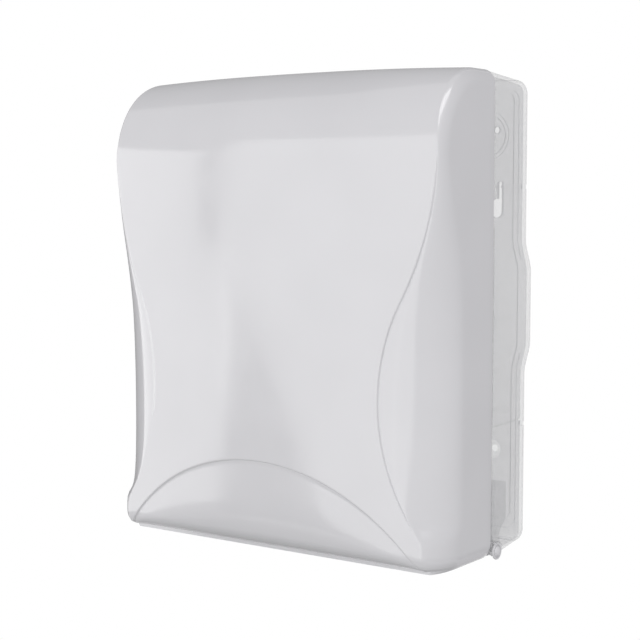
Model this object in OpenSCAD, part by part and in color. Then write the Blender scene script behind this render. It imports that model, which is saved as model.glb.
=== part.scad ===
// Hand-towel dispenser for folded paper: wall housing, slotted tray, swinging cover and cam lock.
// Millimetres. X points to the right, Y into the wall, Z up.
// The origin is the middle of the four wall-screw holes, on the wall.

/* [Cover] */
// Width across the sides
cover_w = 290; // [250:1:340]
// Height from the lower edge to the top
cover_h = 338; // [310:1:400]
// Height of the wall-hole centre above the lower edge
centre_up = 179.5; // [160:0.5:210]
// How far the middle of the front stands off the wall
front_depth = 140.7; // [130:0.1:170]
// How far the rim stands off the wall, where the cover meets the housing
rim_depth = 56; // [48:0.5:64]
// Wall thickness
cover_wall = 2.5; // [1.8:0.1:3.5]
// How far the front bows out from its edges to its middle
front_bow = 12.7; // [0:0.1:20]
// How far the top rises from its edges to its middle
top_crown = 3; // [0:0.1:6]
// Depth of the flat top behind the roll
top_flat = 20; // [18:0.5:36]
// Height of the rolled top
roll_h = 64; // [40:0.5:70]
// Radius of the rounded lower edge
lower_round = 12; // [6:0.5:16]
// Corner radius between the front and the sides, near the top
edge_r = 4; // [2:0.5:8]
// Corner radius between the top and the sides, at the rim
top_edge_r = 10; // [4:0.5:14]
// Corner radius between the front and the sides, at the lower edge
low_edge_r = 15; // [6:0.5:18]
// Height above the lower edge at which the crease ends
crease_end = 20; // [5:1:60]
// Height over which the crease dies out
crease_fade = 26; // [5:1:80]
// Depth of the corner beside the waist
wing_depth = 30.2; // [16:0.1:40]
// How far the foot of the cover lies below the height it is measured from
lip_drop = 6.5; // [0.5:0.1:6.5]
// Height of the upright lip in front, at the foot of the rounded lower edge
lip_h = 2.6; // [0.4:0.1:4]

/* [Shield on the cover] */
// Half width at the waist
waist_half = 99.3; // [80:0.1:115]
// Height of the waist above the lower edge
waist_up = 110.5; // [90:0.5:130]
// Radius of the waist curve
waist_r = 149.4; // [140:0.1:180]
// Height above the lower edge where the shield is as wide as the cover
shoulder_up = 283.7; // [260:0.1:300]
// Height of the arch over the chin
arch_up = 60.4; // [40:0.1:80]
// Radius of the arch
arch_r = 163.3; // [140:0.1:200]
// How far the shield stands proud
shield_step = 1.4; // [0.4:0.1:2]

/* [Housing] */
// Wall thickness
housing_wall = 2.5; // [1.8:0.1:3.5]
// Back panel thickness
panel_t = 3; // [2:0.1:5]
// How much each side draws in from the rim to the wall
side_draft = 4.4; // [1:0.1:6]
// How much the top draws in from the rim to the wall
top_draft = 3.4; // [1:0.1:6]
// How far the housing sits inside the line of the cover
flush_step = 0.4; // [0.2:0.1:1.5]
// Radius of the rounding along the back edge of the housing
back_r = 1.8; // [0.5:0.1:2.4]
// Corner radius of the housing
housing_r = 10; // [5:0.5:20]
// Half height of the straight grip on each side
grip_half = 25; // [15:1:40]
// Height of the ramp at each end of the grip
grip_ramp = 24; // [10:1:40]
// How far in from the sides of the cover the wall holes are
hole_in = 29; // [22:0.5:60]
// Distance between the wall holes, up and down
hole_up = 234; // [180:1:260]
// Radius of a wall hole
hole_r = 2.6; // [2:0.1:4]
// Radius of the washer seat round each lower wall hole
seat_r = 6.8; // [5:0.1:8]

/* [Tray] */
// Floor thickness
tray_t = 3; // [2:0.1:5]
// How far the tray's underside lies below the rounded lower edge of the cover
tray_drop = 3.8; // [1:0.1:4.5]
// Width of the towel slot
slot_w = 190; // [120:1:210]
// Depth of the towel slot, front to back
slot_d = 45; // [30:1:50]
// Height of the lip around the slot
slot_lip = 7; // [3:0.5:12]
// Room between each paper guide and the side of the cover
guide_gap = 31.5; // [20:0.5:40]
// Height of a paper guide
guide_h = 145; // [80:1:160]
// How far a paper guide stands off the wall
guide_reach = 50; // [30:1:54]

/* [Hinge] */
// Radius of a hinge pin
pin_r = 2.2; // [1.5:0.1:3]
// Running clearance on a hinge pin
pin_clear = 0.05; // [0.02:0.01:0.1]
// Radius of a knuckle on the housing
knuckle_r = 4.2; // [3.6:0.1:4.2]
// How far the head of a hinge pin stands out past the cover
pin_head_out = 3.5; // [1:0.5:6]
// Depth of the pad where a hinge arm is bonded to the cover
arm_pad_d = 26; // [16:1:36]
// Height of the pad where a hinge arm is bonded to the cover
arm_pad_h = 34; // [20:1:50]

/* [Lock] */
// Radius of the turning plug
plug_r = 4; // [3:0.1:5]
// Running clearance on the plug
plug_clear = 0.05; // [0.02:0.01:0.1]
// Radius of the barrel
barrel_r = 6; // [5:0.1:7]
// Length of the barrel below the cover's top
barrel_len = 19.5; // [16:0.5:24]
// Reach of the cam to the back of its hook
cam_reach = 27; // [24:0.5:30]
// Depth of the strike plate, front to back
strike_d = 27; // [20:0.5:36]

/* [Hidden] */
$fn = 64;
half_w = cover_w / 2;
low_z = -centre_up;
top_z = low_z + cover_h;
waist_z = low_z + waist_up;
shoulder_z = low_z + shoulder_up;
roll_z = top_z - roll_h;
flat_y = -(rim_depth + top_flat);
roll_depth = front_depth + flat_y;

// Two tangent arcs draw the side of the shield: a hollow one at the waist, a full one at the shoulder.
shoulder_x = half_w - edge_r;
lead = waist_half + waist_r - shoulder_x;
rise = shoulder_z - waist_z;
shoulder_r = (lead * lead + rise * rise - waist_r * waist_r) / (2 * (waist_r - lead));
blend_z = waist_z + rise * waist_r / (waist_r + shoulder_r);

// Gaps
rim_gap = 0.4;
fit_gap = 0.05;
sweep_gap = 2;

// Lower edge of the cover
foot_z = low_z - lip_drop;
lip_z = foot_z + min(lip_h, lip_drop);

// How late a wing turns from the front to the side: 0.5 gives a tight turn, 1 a round one.
wing_soft = 0.75;

// Housing
housing_d = rim_depth - rim_gap;
rim_half = half_w - flush_step;
rim_top = top_z - flush_step;
hinge_y = -(rim_depth - 4.8);
hinge_z = low_z - 1.1;
housing_low = hinge_z - knuckle_r + 0.3;
grip_z = low_z + cover_h / 2;
hole_across = cover_w - 2 * hole_in;
guide_half = half_w - guide_gap;
rib_z = [grip_z + 86.5, grip_z - 10, grip_z - 77.5];
rib_half = guide_half - 23;
seam_z = [grip_z + 86, grip_z - 83];
frame_half = rim_half - side_draft - 5.4;
frame_w = 4;
crown_flat = 26;

// Tray
tray_low = low_z - tray_drop;
tray_top = tray_low + tray_t;
lower_lip = 0.66 * lower_round + 1.8 * cover_wall;
tray_half = half_w - lower_lip - sweep_gap - 0.4;
tray_r = 20;
tray_front = lower_lip + sweep_gap + front_bow - front_depth;
floor_y = hinge_y + 7.5;
slot_y = tray_front + slot_d / 2 + 6.5;
bracket_y0 = hinge_y + 7.5;
bracket_y1 = hinge_y + 24;
bracket_foot_d = 8;
tray_screw_y = bracket_y0 + bracket_foot_d / 2;
bracket_h = 45;
bracket_w = 12;

// Paper guides
guide_t = 2;
guide_foot = 20;
guide_z0 = -hole_up / 2 + 17;
guide_z1 = guide_z0 + guide_h;
guide_screw_x = guide_half + guide_t - 12;
guide_screw_z = [guide_z0 + 15, guide_z1 - 15];

// Screws
screw_r = 1.5;
screw_head_r = 3;
screw_head_h = 2;

// Hinge arms
arm_x0 = half_w - cover_wall - 8;
arm_x1 = half_w - cover_wall - 3.5;
arm_pad_y1 = -(rim_depth + 6);
arm_pad_y0 = arm_pad_y1 - arm_pad_d;
arm_pad_z0 = low_z + lower_round + 8;
arm_pad_z1 = arm_pad_z0 + arm_pad_h;
pin_in = arm_x0 - 2;
knuckle_end = half_w + rim_gap;
pin_head_r = knuckle_r + 1.8;
pin_head_t = pin_head_out - rim_gap;
pin_dome_r = knuckle_r - 0.3;

// Lock
lock_y = -(rim_depth + top_flat / 2 + 1);
bezel_r = 8.5;
bezel_h = 1.2;
barrel_low = top_z - barrel_len;
cam_t = 2.5;
cam_top = barrel_low - 0.5;
cam_low = cam_top - cam_t;
tang = 5;
hook_h = 7.5;
washer_t = 0.8;
nut_h = 4;

// Strike
strike_half = 7;
strike_foot = 22;
strike_y0 = lock_y + 16;
strike_y1 = strike_y0 + 3;
strike_back = strike_y0 + strike_d;
strike_under = cam_top + hook_h + 4;
strike_screw_x = 15;
strike_screw_y = (strike_y0 + strike_back) / 2 - 0.5;

// Colours
white_abs = [0.93, 0.93, 0.93];
clear_grey = [0.80, 0.81, 0.82, 0.5];
zinc = [0.72, 0.73, 0.74];
steel = [0.62, 0.63, 0.65];

// Points on an arc in a plane, from angle a0 to angle a1 in n steps.
function arc(cx, cy, r, a0, a1, n) =
    [for (i = [0:n]) let (a = a0 + (a1 - a0) * i / n) [cx + r * cos(a), cy + r * sin(a)]];

// A closed outline of a rectangle with round corners.
function round_rect(x0, y0, x1, y1, r) = concat(
    arc(x1 - r, y1 - r, r, 0, 90, 8),
    arc(x0 + r, y1 - r, r, 90, 180, 8),
    arc(x0 + r, y0 + r, r, 180, 270, 8),
    arc(x1 - r, y0 + r, r, 270, 360, 8)
);

// A list of points in reverse order.
function flipped(p) = [for (i = [len(p) - 1:-1:0]) p[i]];

// A value held between two limits.
function hold(v, lo, hi) = min(max(v, lo), hi);

// Half width of the shield at a height.
function crease_x(z) = z < blend_z
    ? min(
        waist_half + waist_r - sqrt(max(waist_r * waist_r - (z - waist_z) * (z - waist_z), 0)),
        half_w - (z < waist_z ? low_edge_r : edge_r)
    )
    : shoulder_x - shoulder_r
        + sqrt(max(shoulder_r * shoulder_r - pow(min(z, shoulder_z) - shoulder_z, 2), 0));

// Height of the arch over the chin at a distance from the middle.
function arch_z(x) =
    max(low_z + arch_up - arch_r + sqrt(max(arch_r * arch_r - x * x, 0)), lip_z + 1);

// How far the surface falls back from its middle at a distance from the middle.
function bow(x, amount) = amount * pow(abs(x) / half_w, 2.4);

// How far the lower edge is rounded in at a height, from 0 at its start to 1 at its foot.
function curl_part(z, foot) = hold((foot + lower_round - z) / lower_round, 0, 1);
function curl(z, foot) = lower_round * (1 - sqrt(1 - pow(0.94 * curl_part(z, foot), 2)));

// Depth of the corner between front and side for a wing of a given width.
function corner_depth(wing) =
    let (rest = 1 - wing / (half_w - waist_half))
    wing_depth * (1 - pow(rest, 4));

// The shield's step dies out towards the shoulder.
function step_at(z) = shield_step * hold((shoulder_z - z) / 40, 0, 1);

// The step at the crease also dies out above the lower corner, where the wing joins the shield.
function crease_part(z) = hold((z - low_z - crease_end) / crease_fade, 0, 1);

// How straight the chin is at a part of its height: it is bowed at the arch and straight below.
function straight(row) = row[0] == 1 ? 0 : row[0] == 0 ? pow(1 - row[1], 5) : 1;
function front_fall(x, row) =
    bow(x, front_bow) + (front_bow - bow(x, front_bow)) * straight(row);

// Rows of the cover, from the lip up: -1 lip, 0 chin, 1 shield, 2 rolled top, 3 flat top.
rows = concat(
    [[-1, 1]],
    [for (s = [0, 0.03, 0.08, 0.14, 0.22, 0.42, 0.7, 1]) [0, s]],
    [for (s = [0.006, 0.012, 0.02, 0.03, 0.065, 0.11]) [1, s]],
    [for (i = [0:14]) [1, 0.16 + 0.84 * i / 14]],
    [for (i = [1:6]) [2, 15 * i]],
    [[3, 1]]
);
shield_parts = [0, 0.17, 0.34, 0.5, 0.65, 0.8, 0.92, 1];
wing_turns = [0, 20, 40, 55, 70, 80, 90];

// Height of a lip, chin or shield row at a distance from the middle.
function row_z(row, x) = row[0] == 1
    ? arch_z(x) + (roll_z - arch_z(x)) * row[1]
    : lip_z + (row[0] == 0 ? arch_z(x) - lip_z : foot_z - lip_z) * row[1];

// Where a row crosses the side of the shield, closed in on step by step.
function row_crease(row, x, tries) =
    tries == 0 ? x : row_crease(row, crease_x(row_z(row, x)), tries - 1);

// Half of a lip, chin or shield row, from the middle to the rim, set in by a wall thickness.
function front_half(row, set_in) =
    let (
        crease = row_crease(row, 110, 16),
        side_z = row_z(row, half_w),
        inward = set_in * (1 + 0.8 * curl_part(side_z, foot_z)),
        side_x = half_w - inward - curl(side_z, foot_z),
        shield_x = min(crease, half_w - set_in - 2.3),
        wing_x = min(shield_x + 0.8, half_w - set_in - 1.5),
        proud = row[0] == 1 && set_in == 0 ? 1 : 0,
        wing_z = row_z(row, wing_x),
        wing_in = set_in * (1 + 0.8 * curl_part(wing_z, lip_z)),
        wing_step = step_at(wing_z) * (1 - proud * (1 - crease_part(wing_z))),
        wing_h = front_fall(wing_x, row) + wing_step + wing_in + curl(wing_z, lip_z),
        side_h = front_bow + corner_depth(half_w - crease) + 0.5 * inward + curl(side_z, lip_z)
    )
    concat(
        [for (t = shield_parts)
            let (
                x = shield_x * t,
                z = row_z(row, x),
                inset = set_in * (1 + 0.8 * curl_part(z, lip_z)),
                h = front_fall(x, row) + step_at(z) * (1 - proud) + inset + curl(z, lip_z)
            )
            [x, h - front_depth, z]],
        [for (a = wing_turns)
            let (
                x = wing_x + (side_x - wing_x) * sin(a),
                h = wing_h + (side_h - wing_h) * pow(1 - cos(a), wing_soft)
            )
            [x, h - front_depth, row_z(row, x)]],
        [[side_x, -rim_depth, side_z]]
    );

// Half of a row on the rolled or flat top.
function top_half(row, set_in) =
    let (
        turn = row[0] == 2 ? row[1] : 90,
        along = row[0] == 2 ? 0 : row[1],
        part = row[0] == 2 ? 0.8 * row[1] / 90 : 0.8 + 0.2 * row[1],
        mid_y = flat_y - roll_depth * cos(turn) - along * (flat_y + rim_depth),
        mid_z = roll_z + roll_h * sin(turn),
        amount = front_bow * pow(cos(turn), 2) + top_crown * pow(sin(turn), 2),
        r = edge_r + (top_edge_r - edge_r) * sin(turn),
        side_x = half_w - set_in,
        shield_x = min(half_w - r, side_x - 2.3),
        wing_x = min(shield_x + 0.8, side_x - 1.5),
        wing_h = bow(wing_x, amount) + set_in,
        front_corner = corner_depth(edge_r),
        side_h = amount + front_corner + (top_edge_r - front_corner) * sin(turn) + 0.5 * set_in,
        end_h = top_crown + top_edge_r + 0.5 * set_in
    )
    concat(
        [for (t = shield_parts)
            let (x = shield_x * t, h = bow(x, amount) + set_in)
            [x, mid_y + h * cos(turn), mid_z - h * sin(turn)]],
        [for (a = wing_turns)
            let (
                x = wing_x + (side_x - wing_x) * sin(a),
                h = wing_h + (side_h - wing_h) * pow(1 - cos(a), wing_soft + (1 - wing_soft) * sin(turn))
            )
            [x, mid_y + h * cos(turn), mid_z - h * sin(turn)]],
        [[side_x, -rim_depth, roll_z + (top_z - end_h - roll_z) * part]]
    );

function half_row(row, set_in) = row[0] < 2 ? front_half(row, set_in) : top_half(row, set_in);

// A whole row, from the left rim to the right rim.
function whole_row(row, set_in) =
    let (h = half_row(row, set_in))
    concat([for (i = [len(h) - 1:-1:1]) [-h[i][0], h[i][1], h[i][2]]], h);

// A triangle, left out where two of its corners are the same point.
function tri(a, b, c) = a == b || b == c || a == c ? [] : [[a, b, c]];
function quad(a, b, c, d) = concat(tri(a, b, c), tri(a, c, d));

// A solid between two grids of points with the same rows and columns.
module shell(outer, inner) {
    n = len(outer);
    m = len(outer[0]);
    points = concat([for (r = outer) each r], [for (r = inner) each r]);
    function at(layer, i, j) =
        layer * n * m + i * m + (i == n - 1 ? hold(j, 1, m - 2) : j);
    skin = [for (i = [0:n - 2]) for (j = [0:m - 2])
        each quad(at(0, i, j), at(0, i + 1, j), at(0, i + 1, j + 1), at(0, i, j + 1))];
    lining = [for (i = [0:n - 2]) for (j = [0:m - 2])
        each quad(at(1, i, j), at(1, i, j + 1), at(1, i + 1, j + 1), at(1, i + 1, j))];
    lower = [for (j = [0:m - 2])
        each quad(at(0, 0, j), at(0, 0, j + 1), at(1, 0, j + 1), at(1, 0, j))];
    upper = [for (j = [0:m - 2])
        each quad(at(0, n - 1, j), at(1, n - 1, j), at(1, n - 1, j + 1), at(0, n - 1, j + 1))];
    left = [for (i = [0:n - 2])
        each quad(at(0, i, 0), at(1, i, 0), at(1, i + 1, 0), at(0, i + 1, 0))];
    right = [for (i = [0:n - 2])
        each quad(at(0, i, m - 1), at(0, i + 1, m - 1), at(1, i + 1, m - 1), at(1, i, m - 1))];
    polyhedron(points, concat(skin, lining, lower, upper, left, right), convexity = 8);
}

// A solid through outlines that are the same left and right: point j mirrors point m - 1 - j.
module loft(rings) {
    n = len(rings);
    m = len(rings[0]);
    sides = [for (i = [0:n - 2]) for (j = [0:m - 1])
        let (k = (j + 1) % m)
        each quad(i * m + j, (i + 1) * m + j, (i + 1) * m + k, i * m + k)];
    last = (n - 1) * m;
    caps = [for (j = [0:m / 2 - 2])
        each concat(
            quad(j, j + 1, m - 2 - j, m - 1 - j),
            quad(last + j, last + m - 1 - j, last + m - 2 - j, last + j + 1)
        )];
    polyhedron([for (r = rings) each r], concat(sides, caps), convexity = 4);
}

// A flat outline in X and Z, drawn out from the wall.
module from_wall(y0, y1) {
    translate([0, y0, 0]) rotate([90, 0, 0]) linear_extrude(height = y0 - y1) children();
}

// A flat outline in Y and Z, drawn out along X.
module along_x(x0, x1) {
    translate([x0, 0, 0]) rotate([90, 0, 90]) linear_extrude(height = x1 - x0) children();
}

// A round bar along X at a place in Y and Z.
module bar_x(x0, x1, y, z, r) {
    translate([x0, y, z]) rotate([0, 90, 0]) cylinder(h = x1 - x0, r = r);
}

// A round bar along Y that starts at y0 and runs to y1, towards the room.
module bar_y(x, z, y0, y1, r) {
    translate([x, y0, z]) rotate([90, 0, 0]) cylinder(h = y0 - y1, r = r);
}

// Heights on the ramps at both ends of the grip.
ramp_z = [for (e = [-1, 1]) for (i = [0:8])
    grip_z + e * (grip_half + grip_ramp * (e < 0 ? 8 - i : i) / 8)];

// How much of the draft a height takes: none at the grip, all of it beyond the ramps.
function draft_at(z) =
    let (part = hold((abs(z - grip_z) - grip_half) / grip_ramp, 0, 1))
    part * part * (3 - 2 * part);

// How far the grip stands out from the housing's sides, at the wall.
function grip_out(z) = side_draft * (1 - draft_at(z));

// How far the housing's top falls at a distance from the middle, which is flat for the strike.
function crown_drop(x) = top_crown * pow(max(abs(x) - crown_flat, 0) / (half_w - crown_flat), 2);

// Outline of the housing at a depth, set in by a wall thickness, with its floor at a height.
function housing_ring(y, set_in, low) =
    let (
        part = 1 + y / housing_d,
        w = rim_half - set_in - side_draft * part,
        t = rim_top - set_in - top_draft * part,
        r = housing_r - set_in,
        low_r = max(housing_r * part - set_in, 1),
        corner = t - crown_drop(w - r),
        side = concat(
            arc(w - low_r, low + low_r, low_r, -90, 0, 10),
            [for (z = ramp_z) [w + side_draft * part * (1 - draft_at(z)), z]],
            arc(w - r, corner - r, r, 0, 90, 14),
            [for (x = [110, 80, 52, crown_flat]) [x, t - crown_drop(x)]]
        )
    )
    [for (p = concat(side, [for (q = flipped(side)) [-q[0], q[1]]])) [p[0], y, p[1]]];

// The outer form of the housing, with its back edge rounded.
module housing_form() {
    round_off = [for (a = [0, 30, 60]) let (set_in = back_r * (1 - sin(a)))
        housing_ring(-back_r * (1 - cos(a)), set_in, housing_low + set_in)];
    straight = [for (y = [-back_r, -housing_d]) housing_ring(y, 0, housing_low)];
    loft(concat(round_off, straight));
}

// The hollow of the housing.
module housing_hollow() {
    loft([for (y = [-panel_t, -housing_d - 1]) housing_ring(y, housing_wall, tray_low)]);
}

// Inside face of a side wall at a depth.
function side_in(y) = rim_half - side_draft - housing_wall - side_draft * y / housing_d;

// Inside face of the top wall at a depth.
function top_in(y) = rim_top - top_draft - housing_wall - top_draft * y / housing_d;

// A ring raised on the back panel.
module panel_ring(x, z, r, wide, high) {
    difference() {
        bar_y(x, z, -panel_t + 0.5, -panel_t - high, r);
        bar_y(x, z, -panel_t + 1, -panel_t - high - 1, r - wide);
    }
}

// A hole that hangs on a screw: a wide way in, with a narrow slot above it at its outer side.
module keyhole() {
    way_in = 4.7;
    slot = 1.8;
    translate([0, 0, -way_in]) from_wall(1, -panel_t - 3)
        polygon(round_rect(-way_in, 0, way_in, 14, way_in - 0.1));
    from_wall(1, -panel_t - 3)
        polygon(round_rect(way_in + 0.1 - 2 * slot, 0, way_in + 0.1, 22, slot - 0.1));
}

// A rib on the inside of the right side wall.
module side_rib(z) {
    y0 = -panel_t + 0.5;
    y1 = -housing_d + 3;
    translate([0, 0, z - 0.7]) linear_extrude(height = 1.4) polygon([
        [side_in(y0) + 0.6, y0], [side_in(y0) - 1.2, y0], [side_in(y1) - 1.2, y1], [side_in(y1) + 0.6, y1]
    ]);
}

// Outline of the frame on the panel, which follows the grip, set in at its sides, foot and top.
function frame_outline(side, foot, top, r) =
    let (
        w = frame_half - side,
        low = low_z + 4.8 + foot,
        high = rim_top - top_draft - 9 - top,
        right = concat(
            arc(w - r, low + r, r, -90, 0, 8),
            [for (z = ramp_z) [w + grip_out(z), z]],
            arc(w - r, high - r, r, 0, 90, 8)
        )
    )
    concat(right, [for (p = flipped(right)) [-p[0], p[1]]]);

module back_housing() {
    knuckle_in = side_in(hinge_y) + 0.8;
    color(clear_grey) difference() {
        union() {
            difference() {
                housing_form();
                housing_hollow();
                translate([-arm_x1 - 0.7, -housing_d - 1, housing_low - 1])
                    cube([2 * arm_x1 + 1.4, housing_d + 1 + floor_y, 4]);
                for (s = [-1, 1]) {
                    translate([s * half_w - 8, hinge_y - 6, hinge_z - 6]) cube([16, 6, 6]);
                }
            }
            for (s = [-1, 1]) {
                bar_x(s > 0 ? knuckle_in : -knuckle_end, s > 0 ? knuckle_end : -knuckle_in,
                    hinge_y, hinge_z, knuckle_r);
                panel_ring(s * (hole_across / 2 - 7.4), hole_up / 2 - 3.8, 18, 2.7, 1.2);
                panel_ring(s * hole_across / 2, -hole_up / 2, 9, 2, 1.2);
            }
            difference() {
                from_wall(-panel_t + 0.5, -panel_t - 1.5) polygon(frame_outline(0, 0, 0, 8));
                from_wall(-panel_t + 1, -panel_t - 3) polygon(frame_outline(frame_w, 7, 2, 6));
            }
            for (z = rib_z) {
                translate([-rib_half, -panel_t - 1, z - 0.8]) cube([2 * rib_half, 1.5, 1.6]);
                for (m = [0, 1]) mirror([m, 0, 0])
                    translate([guide_half + guide_t + 1, -panel_t - 1, z - 0.8])
                        cube([frame_half + grip_out(z) - frame_w - guide_half - guide_t - 0.5, 1.5, 1.6]);
            }
            for (m = [0, 1]) mirror([m, 0, 0]) for (z = seam_z) side_rib(z);
        }
        for (s = [-1, 1]) {
            for (e = [-1, 1]) bar_y(s * hole_across / 2, e * hole_up / 2, 1, -panel_t - 3, hole_r);
            bar_y(s * hole_across / 2, -hole_up / 2, -panel_t + 1.6, -panel_t - 3, seat_r);
            bar_x(s * half_w - 12, s * half_w + 12, hinge_y, hinge_z, pin_r + 0.01);
            for (z = guide_screw_z) bar_y(s * guide_screw_x, z, -0.6, -panel_t - 3, screw_r + fit_gap);
            translate([s * strike_screw_x, strike_screw_y, top_in(strike_screw_y) - 3])
                cylinder(h = 4.9, r = screw_r + fit_gap);
            for (z = [seam_z[0] - 1.2, seam_z[1] - 4.4]) {
                translate([s * (rim_half - side_draft) - 4, -2, z]) cube([8, 3, 3.2]);
            }
        }
        for (m = [0, 1]) mirror([m, 0, 0])
            translate([hole_across / 2 + 0.3, 0, hole_up / 2 - 59]) keyhole();
    }
}

// Outline of the tray, straight in front with round corners, and cut off slantwise behind.
function tray_outline() =
    let (
        right = concat(
            [[tray_half - 16, -panel_t], [tray_half, bracket_y1]],
            arc(tray_half - tray_r, tray_front + tray_r, tray_r, 0, -90, 8)
        )
    )
    concat(right, [for (p = flipped(right)) [-p[0], p[1]]]);

module bottom_tray() {
    slot = round_rect(-slot_w / 2, slot_y - slot_d / 2, slot_w / 2, slot_y + slot_d / 2, 14);
    lip = round_rect(-slot_w / 2 - 2.2, slot_y - slot_d / 2 - 2.2,
        slot_w / 2 + 2.2, slot_y + slot_d / 2 + 2.2, 16.2);
    color(white_abs) difference() {
        union() {
            translate([0, 0, tray_low]) linear_extrude(height = tray_t) polygon(tray_outline());
            translate([0, 0, tray_low]) linear_extrude(height = tray_t + slot_lip) polygon(lip);
        }
        translate([0, 0, tray_low - 1]) linear_extrude(height = tray_t + slot_lip + 2) polygon(slot);
        for (s = [-1, 1]) {
            translate([s * (tray_half - 8), tray_screw_y, tray_low + 0.6])
                cylinder(h = tray_t, r = screw_r + fit_gap);
        }
    }
}

// Corner bracket between a side wall and the tray, on the right: a tapered leg with a foot.
module tray_bracket() {
    foot_x = tray_half - 18;
    wall_side = [[side_in(bracket_y0), bracket_y0], [side_in(bracket_y1), bracket_y1]];
    leg = concat(wall_side, [
        [side_in(bracket_y1) - bracket_w, bracket_y1], [side_in(bracket_y0) - bracket_w, bracket_y0]
    ]);
    foot_y1 = bracket_y0 + bracket_foot_d;
    foot = [
        [side_in(bracket_y0), bracket_y0], [side_in(foot_y1), foot_y1],
        [foot_x, foot_y1], [foot_x, bracket_y0]
    ];
    difference() {
        translate([0, 0, tray_top]) union() {
            intersection() {
                linear_extrude(height = bracket_h) polygon(leg);
                along_x(foot_x, half_w) polygon([
                    [bracket_y0 - 1, 1], [bracket_y0 + 6, 1], [bracket_y0 + 6, 10.4],
                    [bracket_y0 + 7.4, 12.6], [bracket_y1 - 2, 16.6], [bracket_y1 + 1, 19],
                    [bracket_y1 + 1, bracket_h + 1],
                    [bracket_y0 - 1, bracket_h + 1]
                ]);
            }
            linear_extrude(height = 3) polygon(foot);
        }
        translate([tray_half - 8, tray_screw_y, tray_top - 1])
            cylinder(h = 6, r = screw_r + fit_gap);
    }
}

module tray_bracket_left() {
    color(clear_grey) mirror([1, 0, 0]) tray_bracket();
}

module tray_bracket_right() {
    color(clear_grey) tray_bracket();
}

// A pan-head screw standing on its head, shank up.
module screw(length) {
    difference() {
        union() {
            cylinder(h = screw_head_h, r = screw_head_r);
            cylinder(h = screw_head_h + length, r = screw_r);
        }
        for (a = [0, 90]) rotate(a) translate([-2, -0.4, -1]) cube([4, 0.8, 2]);
    }
}

module tray_screw(side) {
    color(steel) translate([
        side * (tray_half - 8), tray_screw_y, tray_top + 3 + screw_head_h
    ]) rotate([180, 0, 0]) screw(5);
}

module tray_screw_left() {
    tray_screw(-1);
}

module tray_screw_right() {
    tray_screw(1);
}

// Angle plate that keeps the towels in the middle, on the right.
module paper_guide() {
    out = guide_half + guide_t;
    face = -panel_t - 2.5;
    difference() {
        translate([0, 0, guide_z0]) linear_extrude(height = guide_z1 - guide_z0) polygon([
            [out - guide_foot, -panel_t], [out, -panel_t], [out, -guide_reach],
            [guide_half, -guide_reach], [guide_half, face], [out - guide_foot, face]
        ]);
        for (z = guide_screw_z) bar_y(guide_screw_x, z, 0, face - 2, screw_r + fit_gap);
    }
}

module paper_guide_left() {
    color(clear_grey) mirror([1, 0, 0]) paper_guide();
}

module paper_guide_right() {
    color(clear_grey) paper_guide();
}

module guide_screw(side, z) {
    color(steel) translate([side * guide_screw_x, -panel_t - 2.5 - screw_head_h, z])
        rotate([-90, 0, 0]) screw(4.6);
}

module guide_screw_left_upper() {
    guide_screw(-1, guide_screw_z[1]);
}

module guide_screw_left_lower() {
    guide_screw(-1, guide_screw_z[0]);
}

module guide_screw_right_upper() {
    guide_screw(1, guide_screw_z[1]);
}

module guide_screw_right_lower() {
    guide_screw(1, guide_screw_z[0]);
}

module strike_plate() {
    color(zinc) difference() {
        union() {
            along_x(-strike_foot, strike_foot) polygon([
                [strike_y0, top_in(strike_y0)], [strike_y0, strike_under],
                [strike_back, strike_under], [strike_back, top_in(strike_back)]
            ]);
            translate([-strike_half, strike_y0, cam_top + 1.5])
                cube([2 * strike_half, strike_y1 - strike_y0, strike_under - cam_top - 1]);
        }
        for (s = [-1, 1]) {
            translate([s * strike_screw_x, strike_screw_y, strike_under - 1])
                cylinder(h = 12, r = screw_r + fit_gap);
        }
    }
}

module strike_screw(side) {
    color(steel) translate([side * strike_screw_x, strike_screw_y, strike_under - screw_head_h])
        screw(top_in(strike_screw_y) + 1.6 - strike_under);
}

module strike_screw_left() {
    strike_screw(-1);
}

module strike_screw_right() {
    strike_screw(1);
}

// Hinge pin on the right: a shank with a chamfered tip, and outside the knuckle a round plate
// with a groove round a dome.
module hinge_pin() {
    long = knuckle_end - pin_in;
    plate_t = 0.4 * pin_head_t;
    groove = 0.6 * plate_t;
    dome_h = pin_head_t - plate_t + groove;
    translate([pin_in, hinge_y, hinge_z]) rotate([0, 90, 0]) rotate_extrude() polygon(concat(
        [[0, 0], [pin_r - 0.4, 0], [pin_r, 0.4], [pin_r, long], [pin_head_r, long]],
        [[pin_head_r, long + plate_t - 0.2], [pin_head_r - 0.2, long + plate_t]],
        [[pin_dome_r + 0.8, long + plate_t], [pin_dome_r + 0.6, long + plate_t - groove]],
        [for (a = [0, 20, 40, 60, 78]) [
            pin_dome_r * cos(a), long + plate_t - groove + dome_h * sin(a)
        ]],
        [[0, long + pin_head_t]]
    ));
}

module hinge_pin_left() {
    color(white_abs) mirror([1, 0, 0]) hinge_pin();
}

module hinge_pin_right() {
    color(white_abs) hinge_pin();
}

module front_cover() {
    color(white_abs) difference() {
        shell([for (r = rows) whole_row(r, 0)], [for (r = rows) whole_row(r, cover_wall)]);
        translate([0, lock_y, top_z - 8]) cylinder(h = 16, r = barrel_r + 0.1);
        translate([0, lock_y, top_z - bezel_h]) cylinder(h = 8, r = bezel_r + 0.1);
    }
}

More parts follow.
